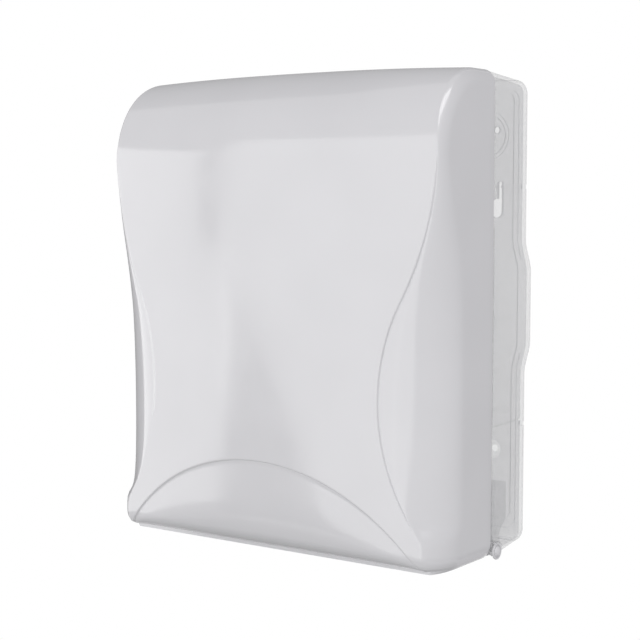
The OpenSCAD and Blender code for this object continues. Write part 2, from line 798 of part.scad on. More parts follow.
// Arm on the right that carries the cover on its pin.
module hinge_arm() {
    r = knuckle_r + 0.2;
    back = hinge_y + r;
    front = hinge_y - 4;
    plate = concat(
        [[arm_pad_y0, arm_pad_z0], [front, arm_pad_z0], [front, hinge_z]],
        [[back, hinge_z], [back, arm_pad_z0 + 18], [back - 14, arm_pad_z1], [arm_pad_y0, arm_pad_z1]]
    );
    difference() {
        union() {
            along_x(arm_x0, arm_x1) polygon(plate);
            bar_x(arm_x0, arm_x1, hinge_y, hinge_z, r);
            translate([arm_x1 - 1, arm_pad_y0, arm_pad_z0]) cube([
                half_w - cover_wall - arm_x1 + 1, arm_pad_y1 - arm_pad_y0, arm_pad_z1 - arm_pad_z0
            ]);
        }
        bar_x(arm_x0 - 1, arm_x1 + 1, hinge_y, hinge_z, pin_r + pin_clear);
    }
}

module hinge_arm_left() {
    color(white_abs) mirror([1, 0, 0]) hinge_arm();
}

module hinge_arm_right() {
    color(white_abs) hinge_arm();
}

module lock_barrel() {
    color(zinc) translate([0, lock_y, 0]) difference() {
        union() {
            translate([0, 0, top_z - bezel_h]) cylinder(h = bezel_h, r = bezel_r);
            translate([0, 0, barrel_low]) cylinder(h = barrel_len - 0.5, r = barrel_r);
        }
        translate([0, 0, barrel_low - 1])
            cylinder(h = barrel_len + 2, r = plug_r + plug_clear);
    }
}

module lock_nut() {
    color(zinc) translate([0, lock_y, top_z - cover_wall - 0.05 - nut_h]) difference() {
        cylinder(h = nut_h, r = 9.4, $fn = 6);
        translate([0, 0, -1]) cylinder(h = nut_h + 2, r = barrel_r + 0.02);
    }
}

module lock_plug() {
    color(steel) translate([0, lock_y, 0]) difference() {
        union() {
            translate([0, 0, cam_top]) cylinder(h = top_z - 0.3 - cam_top, r = plug_r);
            translate([-tang / 2, -tang / 2, cam_low]) cube([tang, tang, cam_t + 1]);
        }
        translate([0, 0, cam_low - 1]) cylinder(h = 11, r = screw_r + fit_gap);
        translate([-0.6, -2.6, top_z - 6]) cube([1.2, 5.2, 8]);
    }
}

module lock_cam() {
    color(steel) translate([0, lock_y, 0]) difference() {
        union() {
            translate([0, 0, cam_low]) cylinder(h = cam_t, r = 7);
            translate([0, -5, cam_low]) cube([cam_reach, 10, cam_t]);
            translate([cam_reach - 4.5, -3, cam_low + 1]) cube([4.5, 6, cam_t - 1 + hook_h]);
        }
        translate([-tang / 2 - fit_gap, -tang / 2 - fit_gap, cam_low - 1])
            cube([tang + 2 * fit_gap, tang + 2 * fit_gap, cam_t + 2]);
    }
}

module cam_washer() {
    color(zinc) translate([0, lock_y, cam_low - washer_t]) difference() {
        cylinder(h = washer_t, r = 5);
        translate([0, 0, -1]) cylinder(h = washer_t + 2, r = screw_r + 0.2);
    }
}

module cam_screw() {
    color(steel) translate([0, lock_y, cam_low - washer_t - screw_head_h]) screw(9);
}

back_housing();
bottom_tray();
tray_bracket_left();
tray_bracket_right();
tray_screw_left();
tray_screw_right();
paper_guide_left();
paper_guide_right();
guide_screw_left_upper();
guide_screw_left_lower();
guide_screw_right_upper();
guide_screw_right_lower();
strike_plate();
strike_screw_left();
strike_screw_right();
hinge_pin_left();
hinge_pin_right();
front_cover();
hinge_arm_left();
hinge_arm_right();
lock_barrel();
lock_nut();
lock_plug();
lock_cam();
cam_washer();
cam_screw();
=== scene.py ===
"""Dressed model of a wall-hung dispenser for folded paper hand towels.

Lengths in the classes are in millimetres, and become metres when a mesh, a lamp or the
camera is made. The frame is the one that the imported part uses: +X to the right, +Y into
the wall, +Z up, with the origin in the middle of the four wall holes.
"""

import logging
import math
from dataclasses import dataclass
from enum import Enum

import bmesh
import bpy
import numpy as np
from mathutils import Euler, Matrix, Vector


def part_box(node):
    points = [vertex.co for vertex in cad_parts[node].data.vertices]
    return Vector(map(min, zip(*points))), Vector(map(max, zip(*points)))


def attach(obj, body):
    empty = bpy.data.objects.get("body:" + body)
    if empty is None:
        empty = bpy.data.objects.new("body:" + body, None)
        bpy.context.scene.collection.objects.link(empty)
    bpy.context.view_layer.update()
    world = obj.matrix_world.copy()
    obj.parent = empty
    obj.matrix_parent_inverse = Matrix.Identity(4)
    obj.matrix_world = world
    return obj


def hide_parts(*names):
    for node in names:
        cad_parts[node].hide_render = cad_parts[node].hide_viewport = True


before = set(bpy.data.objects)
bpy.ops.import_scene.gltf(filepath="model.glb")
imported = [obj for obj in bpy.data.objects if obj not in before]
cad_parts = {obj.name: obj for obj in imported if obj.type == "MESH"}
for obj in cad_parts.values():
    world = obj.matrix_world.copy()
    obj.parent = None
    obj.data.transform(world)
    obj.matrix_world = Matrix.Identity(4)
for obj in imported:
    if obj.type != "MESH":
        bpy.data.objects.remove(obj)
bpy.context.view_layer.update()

MM = 0.001
TINY = 1e-6
PLASTIC_IOR = 1.5
SIDES = ("left", "right")
# The point that lamps and cards are placed round, in millimetres.
CENTRE = Vector((0.0, -100.0, 0.0))
log = logging.getLogger("towel_dispenser")

Colour = tuple[float, float, float]
Point = tuple[float, float, float]
Corners = tuple[tuple[float, float], ...]
Array = np.ndarray


class NodeBench:
    """Adds nodes to a tree and links them."""

    def __init__(self, tree: bpy.types.NodeTree) -> None:
        """Keeps the tree that the nodes go into.

        Args:
            tree: a material's, world's or geometry tree.
        """
        self.tree = tree

    def add(self, kind: str, **values: object) -> bpy.types.Node:
        """Adds a node and sets its properties and inputs.

        Args:
            kind: the node's type name.
            values: a property of the node, or an input named with underscores for spaces.
                An output that is given for an input is linked to it.

        Returns:
            The new node.
        """
        node = self.tree.nodes.new(kind)
        for key, value in values.items():
            if hasattr(node, key):
                setattr(node, key, value)
                continue
            target = node.inputs[key.replace("_", " ")]
            if isinstance(value, bpy.types.NodeSocket):
                self.link(value, target)
            else:
                target.default_value = value
        return node

    def link(self, source: bpy.types.NodeSocket, target: bpy.types.NodeSocket) -> None:
        """Links an output to an input."""
        self.tree.links.new(source, target)


class FinishBench(NodeBench):
    """A material's tree that starts with one shader and the piece's own coordinates."""

    noise_low: float = 0.3
    noise_high: float = 0.7
    tint_low: float = 0.35
    tint_high: float = 0.65

    def __init__(self, name: str) -> None:
        """Makes the material.

        Args:
            name: the material's name.
        """
        self.material = bpy.data.materials.new(name)
        self.material.use_nodes = True
        super().__init__(self.material.node_tree)
        self.tree.nodes.clear()
        output = self.add("ShaderNodeOutputMaterial")
        self.shader = self.add("ShaderNodeBsdfPrincipled")
        self.link(self.shader.outputs["BSDF"], output.inputs["Surface"])
        self.place = self.add("ShaderNodeTexCoord").outputs["Object"]

    def noise(
        self, size: float, detail: float = 2.0, stretch: Point = (1.0, 1.0, 1.0)
    ) -> bpy.types.NodeSocket:
        """Adds a noise pattern on the piece.

        Args:
            size: length of one wave, in millimetres.
            detail: number of finer octaves.
            stretch: how much the pattern is squeezed along each axis.

        Returns:
            The pattern's value, about 0.5 on average.
        """
        squeezed = self.add("ShaderNodeMapping", Scale=stretch, Vector=self.place).outputs["Vector"]
        pattern = self.add(
            "ShaderNodeTexNoise", Scale=1.0 / (size * MM), Detail=detail, Vector=squeezed
        )
        return pattern.outputs["Fac"]

    def span(
        self, value: bpy.types.NodeSocket, low: float, high: float, socket: str
    ) -> None:
        """Sends a pattern to one of the shader's inputs as a range of numbers.

        Args:
            value: the pattern.
            low: the number where the pattern is low.
            high: the number where the pattern is high.
            socket: the shader's input.
        """
        scaled = self.add(
            "ShaderNodeMapRange", Value=value, From_Min=self.noise_low, From_Max=self.noise_high,
            To_Min=low, To_Max=high,
        )
        self.link(scaled.outputs["Result"], self.shader.inputs[socket])

    def tint(self, value: bpy.types.NodeSocket, low: Colour, high: Colour) -> None:
        """Colours the surface between two shades of one colour.

        Args:
            value: the pattern that mixes them.
            low: the shade where the pattern is low.
            high: the shade where the pattern is high.
        """
        ramp = self.add("ShaderNodeValToRGB", Fac=value)
        ends = ((self.tint_low, low), (self.tint_high, high))
        for stop, (position, shade) in zip(ramp.color_ramp.elements, ends):
            stop.position = position
            stop.color = (*shade, 1.0)
        self.link(ramp.outputs["Color"], self.shader.inputs["Base Color"])

    def relief(self, value: bpy.types.NodeSocket, depth: float, strength: float) -> None:
        """Bumps the surface.

        Args:
            value: the height pattern.
            depth: height of the relief, in millimetres.
            strength: how much of it shows.
        """
        bump = self.add("ShaderNodeBump", Strength=strength, Distance=depth * MM, Height=value)
        self.link(bump.outputs["Normal"], self.shader.inputs["Normal"])


@dataclass(frozen=True)
class MouldedWhite:
    """Glossy white moulded plastic with a faint orange-peel skin."""

    name: str = "moulded_white"
    slot: str = "white_plastic"
    low: Colour = (0.780, 0.780, 0.792)
    high: Colour = (0.800, 0.800, 0.812)
    gloss: tuple[float, float] = (0.10, 0.16)
    tint_wave: float = 70.0
    gloss_wave: float = 24.0
    peel: float = 3.0
    peel_depth: float = 0.02
    peel_strength: float = 0.06

    def build(self) -> bpy.types.Material:
        """Makes the material.

        Returns:
            The material.
        """
        bench = FinishBench(self.name)
        bench.shader.inputs["IOR"].default_value = PLASTIC_IOR
        bench.tint(bench.noise(self.tint_wave, 1.0), self.low, self.high)
        bench.span(bench.noise(self.gloss_wave, 4.0), *self.gloss, "Roughness")
        bench.relief(bench.noise(self.peel, 1.0), self.peel_depth, self.peel_strength)
        return bench.material


class Clear(Enum):
    """How the translucent plastic looks by its place: name, shades and how solid it is."""

    WALL = ("translucent_wall", (0.825, 0.830, 0.835), (0.845, 0.850, 0.855), 0.28)
    # EDGE paints shade: the steep sides of the raised relief are darker and more solid, as painted
    # shade for the dark lines along the relief's edges.
    EDGE = ("translucent_edge_painted_shade", (0.50, 0.51, 0.52), (0.54, 0.55, 0.56), 0.6)
    RIM = ("translucent_rim", (0.80, 0.805, 0.81), (0.82, 0.825, 0.83), 0.36)
    WEB = ("translucent_web", (0.88, 0.885, 0.89), (0.90, 0.905, 0.91), 0.06)
    BOSS = ("translucent_boss", (0.78, 0.785, 0.79), (0.80, 0.805, 0.81), 0.92)


@dataclass(frozen=True)
class ClearShell:
    """Translucent light-grey moulded plastic, as the housing and the guides are made of."""

    clear: Clear = Clear.WALL
    slot: str = "clear_housing"
    gloss: tuple[float, float] = (0.16, 0.22)
    tint_wave: float = 90.0
    flow: float = 60.0
    ripple: float = 12.0
    ripple_depth: float = 0.01
    ripple_strength: float = 0.04

    @property
    def name(self) -> str:
        """The material's name."""
        return self.clear.value[0]

    def build(self) -> bpy.types.Material:
        """Makes the material.

        Returns:
            The material.
        """
        _, low, high, solidity = self.clear.value
        bench = FinishBench(self.name)
        bench.shader.inputs["IOR"].default_value = PLASTIC_IOR
        bench.shader.inputs["Alpha"].default_value = solidity
        bench.tint(bench.noise(self.tint_wave, 1.0), low, high)
        bench.span(bench.noise(self.flow, 1.0), *self.gloss, "Roughness")
        bench.relief(bench.noise(self.ripple, 1.0), self.ripple_depth, self.ripple_strength)
        return bench.material


class Plating(Enum):
    """The metal finishes of the small parts: name, record slot, shades, roughness, grain."""

    ZINC = ("zinc_plate", "zinc", (0.50, 0.51, 0.53), (0.60, 0.61, 0.62), (0.28, 0.42), 4.0)
    STEEL = ("plain_steel", "steel", (0.55, 0.55, 0.56), (0.64, 0.64, 0.65), (0.22, 0.34), 0.5)
    CHROME = ("chrome_lock", "chrome_lock", (0.72, 0.73, 0.74), (0.79, 0.79, 0.80), (0.07, 0.14), 1.2)


@dataclass(frozen=True)
class PlatedMetal:
    """Plated or plain metal with a fine grain."""

    plating: Plating
    brush_part: float = 0.5
    brush: Point = (1.0, 1.0, 0.15)
    pit_part: float = 0.3
    pit_depth: float = 0.01
    pit_strength: float = 0.1

    @property
    def name(self) -> str:
        """The material's name."""
        return self.plating.value[0]

    @property
    def slot(self) -> str:
        """The record's slot."""
        return self.plating.value[1]

    def build(self) -> bpy.types.Material:
        """Makes the material.

        Returns:
            The material.
        """
        _, _, low, high, gloss, grain = self.plating.value
        bench = FinishBench(self.name)
        bench.shader.inputs["Metallic"].default_value = 1.0
        bench.tint(bench.noise(grain, 3.0), low, high)
        bench.span(bench.noise(grain * self.brush_part, 4.0, self.brush), *gloss, "Roughness")
        bench.relief(bench.noise(grain * self.pit_part), self.pit_depth, self.pit_strength)
        return bench.material


Finish = MouldedWhite | ClearShell | PlatedMetal


@dataclass(frozen=True)
class PaleFloor:
    """Pale floor paint with a faint mottle."""

    name: str = "pale_floor"
    low: Colour = (0.86, 0.86, 0.86)
    high: Colour = (0.90, 0.90, 0.90)
    gloss: tuple[float, float] = (0.55, 0.7)
    tint_wave: float = 400.0
    gloss_wave: float = 120.0

    def build(self) -> bpy.types.Material:
        """Makes the material.

        Returns:
            The material.
        """
        bench = FinishBench(self.name)
        bench.tint(bench.noise(self.tint_wave, 3.0), self.low, self.high)
        bench.span(bench.noise(self.gloss_wave, 3.0), *self.gloss, "Roughness")
        return bench.material


@dataclass(frozen=True)
class DimCard:
    """A matt studio card with an even glow."""

    name: str
    glow: float
    low: Colour = (0.0, 0.0, 0.0)
    high: Colour = (0.01, 0.01, 0.01)
    tint_wave: float = 300.0

    def build(self) -> bpy.types.Material:
        """Makes the material.

        Returns:
            The material.
        """
        bench = FinishBench(self.name)
        bench.tint(bench.noise(self.tint_wave), self.low, self.high)
        bench.shader.inputs["Roughness"].default_value = 1.0
        bench.shader.inputs["Specular IOR Level"].default_value = 0.0
        bench.shader.inputs["Emission Color"].default_value = (1.0, 1.0, 1.0, 1.0)
        bench.shader.inputs["Emission Strength"].default_value = self.glow
        return bench.material


class PaintShop:
    """Keeps one material for each finish."""

    def __init__(self) -> None:
        """Starts with no materials."""
        self.made: dict[str, bpy.types.Material] = {}

    def material(self, finish: Finish) -> bpy.types.Material:
        """Gives the material of a finish, made on its first use.

        Args:
            finish: the finish.

        Returns:
            Its material.
        """
        if finish.name not in self.made:
            self.made[finish.name] = finish.build()
        return self.made[finish.name]

    def dress(self, piece: bpy.types.Object, finish: Finish) -> None:
        """Puts a finish on a piece.

        Args:
            piece: the object.
            finish: the finish.
        """
        piece.data.materials.clear()
        piece.data.materials.append(self.material(finish))


def smooth_by_angle(mesh: bpy.types.Mesh, degrees: float) -> None:
    """Shades a mesh smooth, with an edge kept sharp where it turns by more than an angle.

    Args:
        mesh: the mesh.
        degrees: the angle.
    """
    mesh.shade_smooth()
    mesh.set_sharp_from_angle(angle=math.radians(degrees))


def new_piece(name: str, mesh: bpy.types.Mesh) -> bpy.types.Object:
    """Makes an object at the origin.

    Args:
        name: the piece's name.
        mesh: its mesh, with its place in its points.

    Returns:
        The object, in the scene.
    """
    piece = bpy.data.objects.new(name, mesh)
    bpy.context.scene.collection.objects.link(piece)
    return piece


def settle(piece: bpy.types.Object) -> None:
    """Turns a piece's modifiers into its mesh.

    Args:
        piece: the object.
    """
    graph = bpy.context.evaluated_depsgraph_get()
    done = bpy.data.meshes.new_from_object(piece.evaluated_get(graph))
    piece.modifiers.clear()
    piece.data = done


def soft_step(part: Array | float) -> Array | float:
    """A smooth rise from 0 to 1."""
    part = np.clip(part, 0.0, 1.0)
    return part * part * (3.0 - 2.0 * part)


def soft_min(first: Array, second: Array, width: float) -> Array:
    """The lesser of two values, rounded over a width where they cross."""
    return 0.5 * (first + second - np.hypot(first - second, width))


def soft_max(first: Array, second: float, width: float) -> Array:
    """The greater of two values, rounded over a width where they cross."""
    return 0.5 * (first + second + np.hypot(first - second, width))


def spread(low: float, high: float, count: int) -> Array:
    """Even places in a range, up to its end, without its start."""
    return np.linspace(low, high, count + 1)[1:]


class Zone(Enum):
    """The zones of the cover's front, from below."""

    LIP = 0
    CHIN = 1
    SHIELD = 2


@dataclass(frozen=True)
class CoverGrid:
    """How many columns and rows each zone of the cover's skins has."""

    shield_cols: int = 42
    shield_crowd: float = 0.9
    riser_cols: int = 5
    wing_cols: int = 26
    side_cols: int = 7
    lip_places: tuple[float, ...] = (0.0, 0.12, 0.5, 0.88)
    edge_part: float = 0.2
    edge_rows: int = 14
    chin_rows: int = 18
    step_rows: int = 6
    foot_part: float = 0.06
    foot_rows: int = 12
    shield_rows: int = 75
    roll_rows: int = 36
    flat_rows: int = 7


@dataclass
class CoverShell:
    """The white cover: shield, wings, chin and rolled top, with a wall and a stepped rim.

    Heights that end in up start at the cover's lower edge. Powers, parts and shares are plain
    numbers, and rim_turns and smooth are in degrees.
    """

    shop: PaintShop
    width: float = 290.0
    height: float = 338.0
    below: float = 179.5
    front: float = 140.7
    rim: float = 56.0
    wall: float = 2.5
    bow: float = 12.7
    bow_power: float = 2.4
    crown: float = 3.0
    flat: float = 20.0
    roll_rise: float = 64.0
    roll_share: float = 0.8
    lower_round: float = 12.0
    curl_share: float = 0.94
    foot_thick: float = 0.8
    side_round: float = 4.0
    top_round: float = 10.0
    foot_round: float = 15.0
    wing_fall: float = 30.2
    wing_soft: float = 0.75
    wing_power: int = 4
    wing_margin: float = 1.5
    corner_thick: float = 0.5
    lip_drop: float = 6.5
    lip_tall: float = 2.6
    waist_half: float = 99.3
    waist_up: float = 110.5
    waist_r: float = 149.4
    shoulder_up: float = 283.7
    arch_up: float = 60.4
    arch_r: float = 163.3
    arch_least: float = 1.0
    arch_soft: float = 1.0
    chin_power: int = 5
    step: float = 1.4
    step_rise: float = 0.006
    step_fade: float = 40.0
    riser: float = 0.8
    shield_margin: float = 2.3
    crease_end: float = 20.0
    crease_fade: float = 26.0
    crease_soft: float = 3.0
    crease_guess: float = 110.0
    crease_tries: int = 60
    rim_round: float = 0.6
    rim_turns: tuple[float, ...] = (30.0, 60.0, 90.0)
    rebate_wide: float = 2.2
    rebate_deep: float = 1.8
    lock_hole: float = 6.1
    lock_seat: float = 8.6
    lock_sunk: float = 1.2
    lock_back: float = 67.0
    lock_drill: float = 12.0
    merge: float = 0.005
    thin: float = 0.002
    smooth: float = 38.0
    grid: CoverGrid = CoverGrid()

    def __post_init__(self) -> None:
        """Works out the heights and circles that follow from the sizes."""
        self.half = self.width / 2
        self.low_z = -self.below
        self.foot_z = self.low_z - self.lip_drop
        self.lip_z = self.foot_z + self.lip_tall
        self.top_z = self.low_z + self.height
        self.waist_z = self.low_z + self.waist_up
        self.shoulder_z = self.low_z + self.shoulder_up
        self.roll_z = self.top_z - self.roll_rise
        self.flat_y = -(self.rim + self.flat)
        self.roll_depth = self.front + self.flat_y
        self.shoulder_x = self.half - self.side_round
        lead = self.waist_half + self.waist_r - self.shoulder_x
        rise = self.shoulder_z - self.waist_z
        self.shoulder_r = (lead**2 + rise**2 - self.waist_r**2) / (2 * (self.waist_r - lead))
        self.blend_z = self.waist_z + rise * self.waist_r / (self.waist_r + self.shoulder_r)

    def crease(self, z: Array) -> Array:
        """Half width of the shield.

        Args:
            z: heights.

        Returns:
            The half width at each.
        """
        waist = np.sqrt(np.maximum(self.waist_r**2 - (z - self.waist_z) ** 2, 0.0))
        waist = self.waist_half + self.waist_r - waist
        limit = self.half - np.where(z < self.waist_z, self.foot_round, self.side_round)
        waist = soft_min(waist, limit, self.crease_soft)
        over = np.minimum(z, self.shoulder_z) - self.shoulder_z
        shoulder = self.shoulder_x - self.shoulder_r
        shoulder = shoulder + np.sqrt(np.maximum(self.shoulder_r**2 - over**2, 0.0))
        return np.where(z < self.blend_z, waist, shoulder)

    def arch(self, x: Array) -> Array:
        """Height of the arch over the chin.

        Args:
            x: distances from the middle.

        Returns:
            The height at each.
        """
        lift = np.sqrt(np.maximum(self.arch_r**2 - x**2, 0.0)) - self.arch_r + self.arch_up
        least = self.lip_z + self.arch_least - self.low_z
        return self.low_z + soft_max(lift, least, self.arch_soft)

    def fall(self, x: Array, amount: Array | float) -> Array:
        """How far the surface falls back at distances from the middle."""
        return amount * (np.abs(x) / self.half) ** self.bow_power

    def curl_part(self, z: Array, foot: float) -> Array:
        """How far into a rounded lower edge with a given foot heights lie, from 0 to 1."""
        return np.clip((foot + self.lower_round - z) / self.lower_round, 0.0, 1.0)

    def curl(self, z: Array, foot: float) -> Array:
        """How far a lower edge with a given foot is rounded in at heights."""
        turn = self.curl_share * self.curl_part(z, foot)
        return self.lower_round * (1.0 - np.sqrt(1.0 - turn**2))

    def tuck(self, z: Array, inset: float) -> Array:
        """How far the front lies back at heights for its wall and its rounded lower edge."""
        thick = inset * (1.0 + self.foot_thick * self.curl_part(z, self.lip_z))
        return thick + self.curl(z, self.lip_z)

    def corner(self, wing: Array | float) -> Array | float:
        """Depth of the corner between front and side for a wing's width."""
        rest = 1.0 - wing / (self.half - self.waist_half)
        return self.wing_fall * (1.0 - rest**self.wing_power)

    def step_at(self, z: Array) -> Array:
        """Height of the shield's step, which dies out towards the shoulder."""
        return self.step * np.clip((self.shoulder_z - z) / self.step_fade, 0.0, 1.0)

    def crease_part(self, z: Array) -> Array:
        """How much of the step the crease has at heights: it dies out above the lower corner."""
        return soft_step((z - self.low_z - self.crease_end) / self.crease_fade)

    @staticmethod
    def shield_places(shield_x: float, wing_x: float, columns: dict[str, Array]) -> Array:
        """Distances from the middle, over the shield and the riser beside it."""
        riser = shield_x + (wing_x - shield_x) * columns["riser"]
        return np.concatenate([shield_x * columns["shield"], riser])

    def front_row(self, zone: Zone, part: float, inset: float, columns: dict[str, Array]) -> Array:
        """Half of a row of the lip, the chin or the shield, from the middle to the rim.

        Args:
            zone: which of them the row lies on.
            part: how far up the zone it lies, from 0 to 1.
            inset: how far the skin is set in, 0 for the outside.
            columns: the places across, by zone.

        Returns:
            Points, one a line.
        """
        def row_z(x: Array) -> Array:
            """Height of the row.

            Args:
                x: distances from the middle.

            Returns:
                The height at each.
            """
            arch = self.arch(np.asarray(x, float))
            if zone is Zone.LIP:
                return np.full_like(arch, self.foot_z + self.lip_tall * part)
            if zone is Zone.CHIN:
                return self.lip_z + (arch - self.lip_z) * part
            return arch + (self.roll_z - arch) * part

        def bowed(x: Array) -> Array:
            """How far back the row falls. The chin's lower edge is straight across.

            Args:
                x: distances from the middle.

            Returns:
                The fall at each.
            """
            fall = self.fall(np.asarray(x, float), self.bow)
            straight = {Zone.LIP: 1.0, Zone.CHIN: (1.0 - part) ** self.chin_power, Zone.SHIELD: 0.0}
            return fall + (self.bow - fall) * straight[zone]

        crease = np.array(self.crease_guess)
        for _ in range(self.crease_tries):
            crease = 0.5 * (crease + self.crease(row_z(crease)))
        crease = float(crease)
        side_z = float(row_z(self.half))
        inward = inset * (1.0 + self.foot_thick * float(self.curl_part(side_z, self.foot_z)))
        side_x = self.half - inward - float(self.curl(side_z, self.foot_z))
        shield_x = min(crease, self.half - inset - self.shield_margin)
        wing_x = min(shield_x + self.riser, self.half - inset - self.wing_margin)
        on_shield = zone is Zone.SHIELD and not inset
        proud = float(soft_step(part / self.step_rise)) if on_shield else 0.0

        x = self.shield_places(shield_x, wing_x, columns)
        z = row_z(x)
        sunk = np.concatenate([np.zeros_like(columns["shield"]), soft_step(columns["riser"])])
        sunk = sunk * self.crease_part(z)
        depth = bowed(x) + self.step_at(z) * (1.0 - proud * (1.0 - sunk))
        depth = depth + self.tuck(z, inset)
        middle = np.stack([x, depth - self.front, z], 1)

        wing_z = row_z(wing_x)
        sunk = self.crease_part(wing_z)
        wing_h = bowed(wing_x) + self.step_at(wing_z) * (1.0 - proud * (1.0 - sunk))
        wing_h = wing_h + self.tuck(wing_z, inset)
        side_h = self.bow + self.corner(self.half - crease) + self.corner_thick * inward
        side_h = side_h + self.curl(side_z, self.lip_z)
        x = wing_x + (side_x - wing_x) * np.sin(columns["wing"])
        depth = wing_h + (side_h - wing_h) * (1.0 - np.cos(columns["wing"])) ** self.wing_soft
        wing = np.stack([x, depth - self.front, row_z(x)], 1)
        return np.concatenate([middle, wing, self.side_points(wing[-1], side_z, inset, columns)])

    def edge_y(self, inset: float) -> float:
        """Where a skin ends in front of the rim: the outer one leaves room for the step."""
        return -(self.rim + self.rim_round + (0.0 if inset else self.rebate_wide))

    def side_points(
        self, start: Array, rim_z: float, inset: float, columns: dict[str, Array]
    ) -> Array:
        """Points from the end of a wing back to the skin's edge.

        Args:
            start: the wing's last point.
            rim_z: the row's height at the edge.
            inset: how far the skin is set in, 0 for the outside.
            columns: the places across, by zone.

        Returns:
            Points, one a line.
        """
        part = columns["side"][:, None]
        end = np.array([start[0], self.edge_y(inset), rim_z])
        return start + (end - start) * part

    def top_row(self, turn: float, along: float, inset: float, columns: dict[str, Array]) -> Array:
        """Half of a row of the rolled or flat top.

        Args:
            turn: how far the roll has turned, in radians.
            along: how far back the flat top the row lies, from 0 to 1.
            inset: how far the skin is set in, 0 for the outside.
            columns: the places across, by zone.

        Returns:
            Points, one a line.
        """
        cos, sin = math.cos(turn), math.sin(turn)
        part = self.roll_share * turn / (math.pi / 2) + (1.0 - self.roll_share) * along
        mid_y = self.flat_y - self.roll_depth * cos + along * (self.edge_y(inset) - self.flat_y)
        mid_z = self.roll_z + self.roll_rise * sin
        amount = self.bow * cos**2 + self.crown * sin**2
        edge = self.side_round + (self.top_round - self.side_round) * sin
        side_x = self.half - inset
        shield_x = min(self.half - edge, side_x - self.shield_margin)
        wing_x = min(shield_x + self.riser, side_x - self.wing_margin)
        corner = self.corner(self.side_round)
        thick = self.corner_thick * inset
        side_h = amount + corner + (self.top_round - corner) * sin + thick
        end_h = self.crown + self.top_round + thick
        wing_h = float(self.fall(np.array(wing_x), amount)) + inset

        x = self.shield_places(shield_x, wing_x, columns)
        depth = self.fall(x, amount) + inset
        wing_places = wing_x + (side_x - wing_x) * np.sin(columns["wing"])
        soft = self.wing_soft + (1.0 - self.wing_soft) * sin
        wing_depth = wing_h + (side_h - wing_h) * (1.0 - np.cos(columns["wing"])) ** soft
        x = np.concatenate([x, wing_places])
        depth = np.concatenate([depth, wing_depth])
        points = np.stack([x, mid_y + depth * cos, mid_z - depth * sin], 1)
        rim_z = self.roll_z + (self.top_z - end_h - self.roll_z) * part
        return np.concatenate([points, self.side_points(points[-1], rim_z, inset, columns)])

    def skin(self, inset: float) -> Array:
        """The whole skin, from the left rim to the right and from the lower edge up.

        Args:
            inset: how far it is set in, 0 for the outside.

        Returns:
            Points by row and column.
        """
        grid = self.grid
        upright = math.pi / 2
        columns = {
            "shield": np.linspace(0.0, 1.0, grid.shield_cols) ** grid.shield_crowd,
            "riser": spread(0.0, 1.0, grid.riser_cols + 1)[:-1],
            "wing": np.linspace(0.0, upright, grid.wing_cols),
            "side": spread(0.0, 1.0, grid.side_cols),
        }
        edge = np.linspace(0.0, grid.edge_part, grid.edge_rows + 1)[:-1]
        step = spread(0.0, self.step_rise, grid.step_rows)
        foot = spread(self.step_rise, grid.foot_part, grid.foot_rows)
        places = {
            Zone.LIP: grid.lip_places,
            Zone.CHIN: (*edge, *np.linspace(grid.edge_part, 1.0, grid.chin_rows)),
            Zone.SHIELD: (*step, *foot, *spread(grid.foot_part, 1.0, grid.shield_rows)),
        }
        halves = [
            self.front_row(zone, part, inset, columns)
            for zone, parts in places.items()
            for part in parts
        ]
        turns = spread(0.0, upright, grid.roll_rows)
        halves += [self.top_row(turn, 0.0, inset, columns) for turn in turns]
        flats = spread(0.0, 1.0, grid.flat_rows)
        halves += [self.top_row(upright, along, inset, columns) for along in flats]
        right = np.stack(halves)
        left = right[:, :0:-1] * np.array([-1.0, 1.0, 1.0])
        return np.concatenate([left, right], 1)

    def mesh(self) -> bpy.types.Mesh:
        """The closed shell: both skins, the stepped rim and the lower edge.

        Returns:
            The mesh, in metres.
        """
        skins = [self.skin(0.0), self.skin(self.wall)]
        rows, cols = skins[0].shape[:2]
        path = [(i, 0) for i in range(rows)]
        path += [(rows - 1, j) for j in range(1, cols - 1)]
        path += [(i, cols - 1) for i in range(rows - 1, -1, -1)]
        rims = [np.array([skin[i, j] for i, j in path]) for skin in skins]
        for rim in rims:
            rim[:, 1] = -self.rim
        towards = rims[1] - rims[0]
        towards /= np.maximum(np.linalg.norm(towards, axis=1, keepdims=True), TINY)
        back = np.array([0.0, 1.0, 0.0])
        rings: list[Array] = []
        for turn in np.radians(self.rim_turns):
            shift = back * (self.rim_round * (math.sin(turn) - 1.0) - self.rebate_wide)
            rings.append(rims[0] + towards * self.rim_round * (1.0 - math.cos(turn)) + shift)
        rings.append(rims[0] + towards * self.rebate_deep - back * self.rebate_wide)
        rings.append(rims[0] + towards * self.rebate_deep)
        for turn in np.radians(self.rim_turns[::-1]):
            shift = back * self.rim_round * (math.sin(turn) - 1.0)
            rings.append(rims[1] - towards * self.rim_round * (1.0 - math.cos(turn)) + shift)

